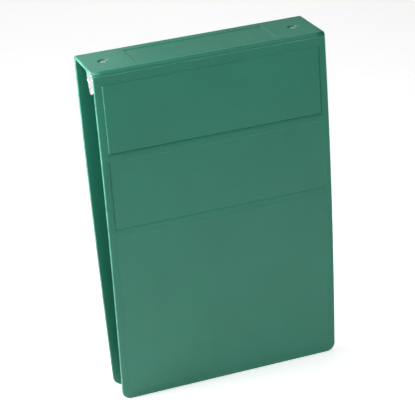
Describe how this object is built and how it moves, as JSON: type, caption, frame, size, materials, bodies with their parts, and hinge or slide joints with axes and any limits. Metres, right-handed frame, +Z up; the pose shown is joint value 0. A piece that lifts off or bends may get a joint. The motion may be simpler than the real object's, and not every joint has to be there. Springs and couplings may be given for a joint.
{
  "type": "ring album",
  "caption": "Top-opening ring album: moulded shell with stepped label panels, spine label recess and ring metal with end triggers, standing on its cover edges.",
  "frame": {"origin": "on the floor, at the centre of the box around the standing album", "axes": "+Z up from the covers' free edges to the spine, X along the spine, -Y towards the front cover with the label panels"},
  "size_m": [0.254, 0.0726, 0.3853],
  "materials": {
    "moulded_shell": "satin green moulded plastic, pebbled borders and smooth panels",
    "trigger_chrome": "bright plated steel",
    "ring_nickel": "bright nickel wire",
    "housing_nickel": "bright nickel sheet steel",
    "rivet_nickel": "satin nickel, slightly dulled",
    "inner_steel": "plain zinc-plated steel"
  },
  "bodies": {
    "spine": {"spine_panel": "moulded_shell", "front_hinge_web": "moulded_shell", "back_hinge_web": "moulded_shell", "ring_housing": "housing_nickel", "left_rivet": "rivet_nickel", "right_rivet": "rivet_nickel", "left_rivet_post": "inner_steel", "right_rivet_post": "inner_steel", "left_trigger_pin": "inner_steel", "right_trigger_pin": "inner_steel"},
    "front_cover": {"front_cover": "moulded_shell"},
    "back_cover": {"back_cover": "moulded_shell"},
    "front_rings": {"front_blade": "inner_steel", "front_ring_left": "ring_nickel", "front_ring_middle": "ring_nickel", "front_ring_right": "ring_nickel"},
    "back_rings": {"back_blade": "inner_steel", "back_ring_left": "ring_nickel", "back_ring_middle": "ring_nickel", "back_ring_right": "ring_nickel"},
    "left_trigger": {"left_trigger": "trigger_chrome"},
    "right_trigger": {"right_trigger": "trigger_chrome"}
  },
  "joints": [
    {"name": "front_cover_hinge", "type": "hinge", "parent": "spine", "child": "front_cover", "pos_m": [0, -0.03415, 0.38343], "axis": [-1, 0, 0], "range_deg": [-2, 180], "deforming": ["front_hinge_web"]},
    {"name": "back_cover_hinge", "type": "hinge", "parent": "spine", "child": "back_cover", "pos_m": [0, 0.03415, 0.38343], "axis": [1, 0, 0], "range_deg": [-2, 180], "deforming": ["back_hinge_web"]},
    {"name": "front_rings_open", "type": "hinge", "parent": "spine", "child": "front_rings", "pos_m": [0, -0.0112, 0.37868], "axis": [-1, 0, 0], "range_deg": [0, 12]},
    {"name": "back_rings_open", "type": "hinge", "parent": "spine", "child": "back_rings", "pos_m": [0, 0.0112, 0.37868], "axis": [1, 0, 0], "range_deg": [0, 12]},
    {"name": "left_trigger_pull", "type": "hinge", "parent": "spine", "child": "left_trigger", "pos_m": [-0.117, 0, 0.37668], "axis": [0, 1, 0], "range_deg": [0, 18.6]},
    {"name": "right_trigger_pull", "type": "hinge", "parent": "spine", "child": "right_trigger", "pos_m": [0.117, 0, 0.37668], "axis": [0, -1, 0], "range_deg": [0, 18.6]}
  ],
  "couplings": [
    {"joint": "back_rings_open", "follows": "front_rings_open", "ratio": 1},
    {"joint": "left_trigger_pull", "follows": "front_rings_open", "ratio": 1.54},
    {"joint": "right_trigger_pull", "follows": "front_rings_open", "ratio": 1.54}
  ]
}
